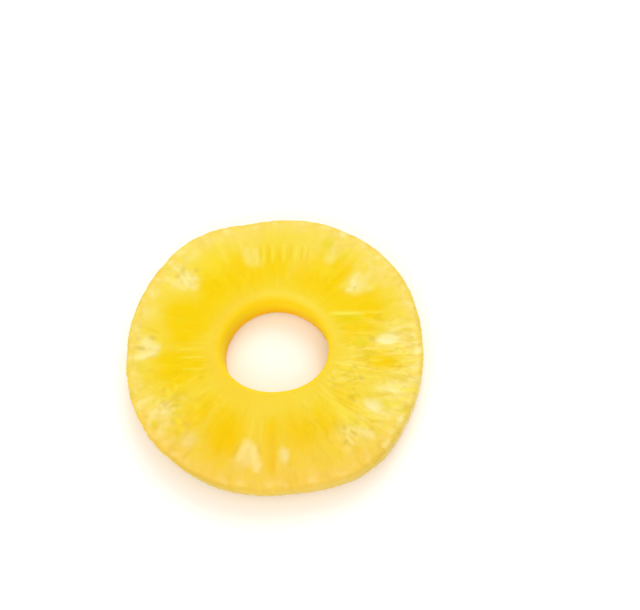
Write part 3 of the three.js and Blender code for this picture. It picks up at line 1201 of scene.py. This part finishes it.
class Graph:
    """A material's nodes."""

    MIX_START = 6
    MIX_END = 7
    MIX_RESULT = 2

    def __init__(self, material: bpy.types.Material) -> None:
        """Start an empty tree.

        Args:
            material: The material that it belongs to.
        """
        material.use_nodes = True
        self.tree = material.node_tree
        self.tree.nodes.clear()

    def add(
        self, kind: str, settings: dict[str, Any] | None = None, inputs: dict[Any, Any] | None = None
    ) -> bpy.types.Node:
        """Add a node.

        Args:
            kind: The node's type name.
            settings: Its properties, set first.
            inputs: Values or links for its sockets, by name or number.

        Returns:
            The node.
        """
        node = self.tree.nodes.new(kind)
        for name, value in (settings or {}).items():
            setattr(node, name, value)
        for key, value in (inputs or {}).items():
            self.feed(node.inputs[key], value)
        return node

    def feed(self, socket: bpy.types.NodeSocket, value: Any) -> None:
        """Link a socket to a value of the graph, or set it to a constant.

        Args:
            socket: The socket.
            value: A value or a socket of the graph, a number, a vector or a colour.
        """
        if isinstance(value, Number):
            self.tree.links.new(value.socket, socket)
        elif isinstance(value, bpy.types.NodeSocket):
            self.tree.links.new(value, socket)
        elif isinstance(value, tuple) and socket.type == "RGBA":
            socket.default_value = (*value, 1.0)
        else:
            socket.default_value = value

    def share(self, name: str) -> Number:
        """Read a named number of the mesh's points."""
        return Number(self, self.add("ShaderNodeAttribute", {"attribute_name": name}).outputs["Fac"])

    def vector(self, name: str) -> bpy.types.NodeSocket:
        """Read a named vector of the mesh's points."""
        return self.add("ShaderNodeAttribute", {"attribute_name": name}).outputs["Vector"]

    def noise(self, vector: bpy.types.NodeSocket, pattern: Pattern) -> Number:
        """Read a pattern of noise.

        Args:
            vector: The coordinates that it lies over.
            pattern: The pattern.

        Returns:
            The noise, from 0 to 1.
        """
        scaled = {0: vector, 1: pattern.frequency}
        placed = self.add("ShaderNodeVectorMath", {"operation": "MULTIPLY"}, scaled).outputs[0]
        inputs = {
            "Vector": placed, "Scale": 1.0, "Detail": pattern.detail, "Roughness": pattern.roughness,
            "Distortion": pattern.distortion,
        }
        return Number(self, self.add("ShaderNodeTexNoise", {}, inputs).outputs["Fac"])

    def lay(self, tint: Tint, where: Number, under: Any) -> bpy.types.NodeSocket:
        """Lay a tint over a colour.

        Args:
            tint: The tint.
            where: How much of it is laid, from 0 to 1.
            under: The colour under it, or a link to one.

        Returns:
            The socket with the mixed colour.
        """
        factor = where if tint.cover == 1.0 else where * tint.cover
        node = self.add(
            "ShaderNodeMix",
            {"data_type": "RGBA", "blend_type": tint.blend.value},
            {"Factor": factor, self.MIX_START: under, self.MIX_END: tint.colour},
        )
        return node.outputs[self.MIX_RESULT]

    def lay_shares(self, under: Any, **tints: Tint) -> bpy.types.NodeSocket:
        """Lay tints over a colour, one after another.

        Args:
            under: The colour under them, or a link to one.
            **tints: The tints, each by the name of the share that says where it is laid.

        Returns:
            The socket with the mixed colour.
        """
        for name, tint in tints.items():
            under = self.lay(tint, self.share(name), under)
        return under

    def finish(self, **inputs: Any) -> None:
        """Add the shader and the material's output.

        Args:
            **inputs: The shader's inputs, with an underscore for each space.
        """
        named = {name.replace("_", " "): value for name, value in inputs.items()}
        shader = self.add("ShaderNodeBsdfPrincipled", {}, named)
        self.add("ShaderNodeOutputMaterial", {}, {"Surface": shader.outputs["BSDF"]})


# ---- Finishes ----


def every_way(cells: float) -> Triple:
    """Return a frequency in cells to a millimetre as one in cells to a metre, alike along each axis."""
    return (cells / MM,) * 3


@dataclass
class FleshNoise:
    """The noise that the parts of the flesh's finish share."""

    fibre: Number
    clouds: Number
    grit: Number
    cells: Number
    mottle: Number
    folds: Number


@dataclass(frozen=True)
class FleshFinish:
    """Moist, slightly see-through pineapple flesh with pale fibres, eyes and border."""

    wedge: Triple = (0.7524, 0.5896, 0.0572)
    band: Tint = Tint((0.7568, 0.5632, 0.036), 0.9)
    petal: Tint = Tint((0.7568, 0.5324, 0.0))
    border: Tint = Tint((0.7612, 0.5808, 0.0968))
    frost: Tint = Tint((0.79, 0.678, 0.238))
    # A deeper gold band round the hole on its far side.
    crease: Tint = Tint((0.7524, 0.5544, 0.0123), 0.7)
    # Painted highlight on the face along the hole's rounded edge.
    lip: Tint = Tint((0.7656, 0.6072, 0.0528), 0.7)
    spot: Tint = Tint((0.92, 0.88, 0.75), blend=Blend.THROUGH)
    fold: Tint = Tint((0.86, 0.84, 0.4), 0.9, Blend.THROUGH)
    light_fibre: Tint = Tint((0.77, 0.6556, 0.0704))
    dark_fibre: Tint = Tint((0.6952, 0.4972, 0.0123), 0.65)
    # Painted shade along the grooves between fibres.
    gap: Tint = Tint((0.6952, 0.4972, 0.0123), 0.8)
    line: Tint = Tint((0.77, 0.6556, 0.0704), 0.9)
    # Olive: partly the flesh's own green, partly painted shade beside hollows and raised strands.
    olive: Tint = Tint((0.6512, 0.5456, 0.007), 0.8)
    amber: Tint = Tint((0.7612, 0.5192, 0.024), 0.8)
    bright: Tint = Tint((0.775, 0.63, 0.034), 0.9)
    mark: Tint = Tint((0.82, 0.722, 0.30))
    shaded: Tint = Tint((0.616, 0.4576, 0.0616), 0.75)
    # Painted shade over the near side of the slice: darker and more orange.
    warmth: Tint = Tint((1.0, 0.888, 0.77), blend=Blend.THROUGH)
    # The outer wall's gold, darkened with painted shade.
    side: Tint = Tint((0.50, 0.355, 0.042), 0.85)
    # The hole wall's own gold, made a brighter and more saturated orange than the face as painted bounce
    # light.
    hole: Tint = Tint((0.81, 0.575, 0.0009), 0.95)
    # Painted shade: the hole's wall turns a darker orange towards its foot.
    hole_foot: Tint = Tint((0.82, 0.43, 0.0))

    radial: Pattern = Pattern((0.6, 0.6, 0.08), 1.5, 0.4, 0.3)
    local: Pattern = Pattern((0.7, 0.13, 1.0), 0.8, 0.4, 0.5)
    short: Pattern = Pattern((0.55, 0.3, 1.0), 0.8, 0.4, 0.8)
    folds: Pattern = Pattern((0.55, 0.26, 1.0), 0.5, 0.4, 1.0)
    clouds: Pattern = Pattern(every_way(0.17), 2.0)
    grit: Pattern = Pattern(every_way(0.8))
    cells: Pattern = Pattern(every_way(0.36))
    mottle: Pattern = Pattern(every_way(0.34), 0.8, distortion=0.6)
    middle: float = 0.5

    petal_span: Pair = (-0.1, 0.85)
    petal_clouds: float = 0.35
    petal_fibre: float = 0.55
    petal_least_fibre: float = 0.12
    fibre_under_petal: float = 0.6
    border_span: Pair = (0.1, 0.95)
    border_cells: float = 0.8
    frost_span: Pair = (0.0, 1.2)
    frost_strength: float = 1.1
    frost_cells: float = 4.0
    frost_clouds: float = 1.5
    frost_busy: float = 0.7
    frost_calm: float = 0.3
    pale_border: float = 0.6
    pale_fan: float = 0.3
    pale_frost: float = 0.5
    spot_span: Pair = (0.48, 0.34)
    spot_crinkle: float = 0.25
    spot_busy: float = 0.6
    spot_least: float = 0.05
    fold_span: Pair = (0.52, 0.76)
    light_span: Pair = (0.5, 0.7)
    dark_span: Pair = (0.48, 0.3)
    edge_cells: float = 2.0
    edge_least: float = 0.1
    mark_span: Pair = (0.0, 1.05)
    mark_grit: float = 0.15
    # Painted shade on the near side: its direction in the object's space, and where along it the shade
    # starts and is full, in metres.
    warm_side: Triple = (-0.1, -1.0, 0.0)
    warm_span: Pair = (0.012, 0.036)

    bump_cells: float = 0.7
    bump_grit: float = 0.1
    bump_fold: float = 0.6
    bump_fold_span: Pair = (0.5, 0.75)
    bump_strength: float = 0.6
    bump_height: float = 0.25
    roughness: float = 0.45
    roughness_grit: float = 0.3
    fibre_coat: float = 0.5
    coat_roughness: float = 0.16
    specular: float = 0.05
    scatter: float = 0.6
    scatter_reach: Triple = (1.0, 0.7, 0.2)
    scatter_depth: float = 1.4

    def noise(self, graph: Graph, place: bpy.types.NodeSocket, fibrous: Number) -> FleshNoise:
        """Add the noise: fibres that fan out from the axis, and follow the eyes where they show more.

        Args:
            graph: The material's nodes.
            place: The object's own coordinates.
            fibrous: How much the fibres show.

        Returns:
            The values, of which clouds, grit and cells are 0 on average.
        """
        strand = graph.vector("strand")
        radial = graph.noise(graph.vector("grain"), self.radial)
        local = (graph.noise(strand, self.local) + graph.noise(strand, self.short)) * 0.5
        return FleshNoise(
            fibre=radial + (local - radial) * fibrous,
            clouds=graph.noise(place, self.clouds) - self.middle,
            grit=graph.noise(place, self.grit) - self.middle,
            cells=graph.noise(place, self.cells) - self.middle,
            mottle=graph.noise(place, self.mottle),
            folds=graph.noise(strand, self.folds),
        )

    def ground(self, graph: Graph, noise: FleshNoise, fibrous: Number) -> bpy.types.NodeSocket:
        """Lay the flesh's broad colours: wedges, petals, border and frost, a deeper band on the hole's far
        side and a painted highlight by the hole's edge.

        Args:
            graph: The material's nodes.
            noise: Its noise.
            fibrous: How much the fibres show.

        Returns:
            The colour.
        """
        border, frost, busy = graph.share("border"), graph.share("frost"), graph.share("busy")
        shown = fibrous * self.petal_fibre + self.petal_least_fibre
        deep = graph.share("petal") + noise.clouds * self.petal_clouds - (noise.fibre - self.middle) * shown
        pale = border * self.pale_border + graph.share("fan") * self.pale_fan + frost * self.pale_frost
        broken = (noise.cells * self.frost_cells + noise.clouds * self.frost_clouds) * pale
        frosted = frost * self.frost_strength + broken * (busy * self.frost_busy + self.frost_calm)
        edged = (border + noise.cells * self.border_cells).rising(*self.border_span)
        colour = graph.lay_shares(self.wedge, band=self.band)
        colour = graph.lay(self.petal, deep.rising(*self.petal_span), colour)
        colour = graph.lay(self.border, edged, colour)
        colour = graph.lay(self.frost, frosted.rising(*self.frost_span), colour)
        return graph.lay_shares(colour, crease=self.crease, lip=self.lip)

    def marked(
        self, graph: Graph, noise: FleshNoise, streaky: Number, crinkle: Number, colour: Any
    ) -> bpy.types.NodeSocket:
        """Lay the spots, folds, fibres and single marks over the ground.

        Args:
            graph: The material's nodes.
            noise: Its noise.
            streaky: How much the light and dark fibres show.
            crinkle: How crinkled the flesh is.
            colour: The ground's colour.

        Returns:
            The colour.
        """
        spotted = crinkle * self.spot_crinkle + graph.share("busy") * self.spot_busy + self.spot_least
        frayed = graph.share("mark") + noise.grit * self.mark_grit
        edge = graph.share("edge") * (noise.cells * self.edge_cells + self.edge_least)
        colour = graph.lay(self.spot, noise.mottle.rising(*self.spot_span) * spotted, colour)
        colour = graph.lay(self.fold, noise.folds.rising(*self.fold_span) * crinkle, colour)
        colour = graph.lay(self.light_fibre, noise.fibre.rising(*self.light_span) * streaky, colour)
        colour = graph.lay(self.dark_fibre, noise.fibre.rising(*self.dark_span) * streaky, colour)
        # Painted shade in the grooves between fibres, then the lighter single fibres.
        colour = graph.lay_shares(colour, gaps=self.gap, lines=self.line)
        colour = graph.lay(self.frost, edge, colour)
        # Olive flecks, partly painted shade, then amber and bright cells.
        colour = graph.lay_shares(colour, olive=self.olive, amber=self.amber, bright=self.bright)
        colour = graph.lay(self.mark, frayed.rising(*self.mark_span), colour)
        return graph.lay_shares(colour, shaded=self.shaded)

    def make(self) -> bpy.types.Material:
        """Make the material.

        Returns:
            The material.
        """
        material = bpy.data.materials.new("pineapple_flesh")
        graph = Graph(material)
        place = graph.add("ShaderNodeTexCoord").outputs["Object"]
        fibrous, crinkle, petal = graph.share("fibrous"), graph.share("crinkle"), graph.share("petal")
        noise = self.noise(graph, place, fibrous)
        streaky = fibrous * (1.0 - petal * self.fibre_under_petal)
        colour = self.ground(graph, noise, fibrous)
        colour = self.marked(graph, noise, streaky, crinkle, colour)
        # Painted shade: the near side, turned away from the key light, is darkened towards orange.
        toward = {0: place, 1: self.warm_side}
        reached = graph.add("ShaderNodeVectorMath", {"operation": "DOT_PRODUCT"}, toward)
        front_shaded = Number(graph, reached.outputs["Value"]).rising(*self.warm_span)
        colour = graph.lay(self.warmth, front_shaded, colour)
        # On the walls: painted shade over the outer wall, the hole wall's gold with painted bounce light,
        # and painted shade at the hole's foot.
        colour = graph.lay_shares(colour, outside=self.side, inside=self.hole, deep=self.hole_foot)

        folds = noise.folds.rising(*self.bump_fold_span) * crinkle * self.bump_fold
        fine = noise.cells * self.bump_cells + noise.grit * self.bump_grit
        relief = {
            "Height": noise.fibre * streaky + fine - folds,
            "Strength": self.bump_strength,
            "Distance": self.bump_height * MM,
        }
        graph.finish(
            Base_Color=colour,
            Roughness=noise.grit * self.roughness_grit + self.roughness,
            Normal=graph.add("ShaderNodeBump", {}, relief).outputs["Normal"],
            Specular_IOR_Level=self.specular,
            Subsurface_Weight=self.scatter,
            Subsurface_Radius=self.scatter_reach,
            Subsurface_Scale=self.scatter_depth * MM,
            Coat_Weight=crinkle * (1.0 - petal) * self.fibre_coat,
            Coat_Roughness=self.coat_roughness,
        )
        return material


@dataclass(frozen=True)
class FloorFinish:
    """Plain pale matt floor."""

    colour: Triple = (1.0, 0.935, 0.88)
    roughness: float = 0.8
    specular: float = 0.1

    def make(self) -> bpy.types.Material:
        """Make the material.

        Returns:
            The material.
        """
        material = bpy.data.materials.new("pale_floor")
        Graph(material).finish(
            Base_Color=self.colour, Roughness=self.roughness, Specular_IOR_Level=self.specular
        )
        return material


# ---- The studio ----


def direction(azimuth: float, elevation: float) -> Vector:
    """Return the unit vector towards a viewer: azimuth 0 looks along +Y, and angles are in degrees."""
    a, e = math.radians(azimuth), math.radians(elevation)
    return Vector((math.sin(a) * math.cos(e), -math.cos(a) * math.cos(e), math.sin(e)))


@dataclass(frozen=True)
class Softbox:
    """A square soft light that faces the slice."""

    name: str
    azimuth: float
    elevation: float
    distance: float
    side: float
    brightness: float

    def make(self, target: Vector) -> None:
        """Add the light.

        Its power is pi squared times its distance squared times its brightness, which lights a white
        matt face turned to it to that brightness.

        Args:
            target: The point it faces.
        """
        data = bpy.data.lights.new(self.name, "AREA")
        data.shape = "SQUARE"
        data.size = self.side
        data.energy = math.pi**2 * self.distance**2 * self.brightness
        light = bpy.data.objects.new(self.name, data)
        back = direction(self.azimuth, self.elevation)
        light.location = target + back * self.distance
        light.rotation_euler = back.to_track_quat("Z", "Y").to_euler()
        bpy.context.scene.collection.objects.link(light)


@dataclass
class Studio:
    """The floor, the lights and the camera round the slice, in metres and degrees."""

    floor_half: float = 3.0
    floor_gap: float = 0.00002
    sky: float = 0.965
    sky_colour: Triple = (1.0, 1.0, 1.0)
    softboxes: tuple[Softbox, ...] = (
        Softbox("key_light", 168, 46, 1.4, 0.8, 0.34),
        Softbox("fill_light", -8, 25, 1.4, 1.2, 0.364),
    )
    camera_distance: float = 0.240
    camera_elevation: float = 63.4
    camera_azimuth: float = 0.0
    camera_aim: Pair = (0.01191, 0.01174)
    camera_lens: float = 49.5
    camera_sensor: float = 36.0

    def build(self, top: float) -> None:
        """Set up everything round the slice.

        Args:
            top: Height of the slice's upper face, in metres.
        """
        self.lay_floor()
        self.light(Vector((0.0, 0.0, top)))
        self.set_camera(Vector((*self.camera_aim, top)))
        bpy.context.scene.view_settings.view_transform = "Standard"

    def lay_floor(self) -> None:
        """Lay a wide square floor just under the slice."""
        low, high, level = -self.floor_half, self.floor_half, -self.floor_gap
        corners = [(low, low, level), (high, low, level), (high, high, level), (low, high, level)]
        mesh = bpy.data.meshes.new("floor")
        mesh.from_pydata(corners, [], [(0, 1, 2, 3)])
        floor = bpy.data.objects.new("floor", mesh)
        bpy.context.scene.collection.objects.link(floor)
        mesh.materials.append(FloorFinish().make())

    def light(self, target: Vector) -> None:
        """Add the sky and the softboxes.

        Args:
            target: The point that the softboxes face.
        """
        world = bpy.data.worlds.new("studio")
        world.use_nodes = True
        backdrop = world.node_tree.nodes["Background"]
        backdrop.inputs["Color"].default_value = (*self.sky_colour, 1.0)
        backdrop.inputs["Strength"].default_value = self.sky
        bpy.context.scene.world = world
        for softbox in self.softboxes:
            softbox.make(target)

    def set_camera(self, aim: Vector) -> None:
        """Add the camera, level, with no depth of field.

        Args:
            aim: The point that it looks at.
        """
        data = bpy.data.cameras.new("camera")
        data.lens = self.camera_lens
        data.sensor_width = self.camera_sensor
        camera = bpy.data.objects.new("camera", data)
        back = direction(self.camera_azimuth, self.camera_elevation)
        camera.location = aim + back * self.camera_distance
        camera.rotation_euler = (-back).to_track_quat("-Z", "Y").to_euler()
        bpy.context.scene.collection.objects.link(camera)
        bpy.context.scene.camera = camera


# ---- The making ----


def fitted(points: Array, low: Vector, high: Vector) -> Array:
    """Move and stretch points by a hair so that their box is the solid's.

    Args:
        points: Points in millimetres, with three numbers on the last axis.
        low: The solid's lowest corner, in metres.
        high: The solid's highest corner, in metres.

    Returns:
        The points, in millimetres.
    """
    own_low, own_high = points.min(axis=(0, 1)), points.max(axis=(0, 1))
    low, high = np.array(low) / MM, np.array(high) / MM
    return low + (points - own_low) * (high - low) / (own_high - own_low)


def make_slice() -> bpy.types.Object:
    """Build and dress the slice, in place of its solid.

    Returns:
        The finished piece.
    """
    low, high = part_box(NODE)
    skin = FruitSlice().build()
    piece = GridMesh("pineapple_flesh", fitted(skin.points, low, high)).make()
    for name, values in skin.values.items():
        add_attribute(piece, name, values)
    piece.data.materials.append(FleshFinish().make())
    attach(piece, BODY)
    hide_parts(NODE)
    return piece


def main() -> None:
    """Build every piece in order."""
    logging.basicConfig(level=logging.INFO, format="%(name)s: %(message)s")
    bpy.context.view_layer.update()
    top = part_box(NODE)[1].z
    piece = make_slice()
    log.info("%s: %d faces", piece.name, len(piece.data.polygons))
    Studio().build(top)
    log.info("studio ready")


if __name__ == "__main__":
    main()
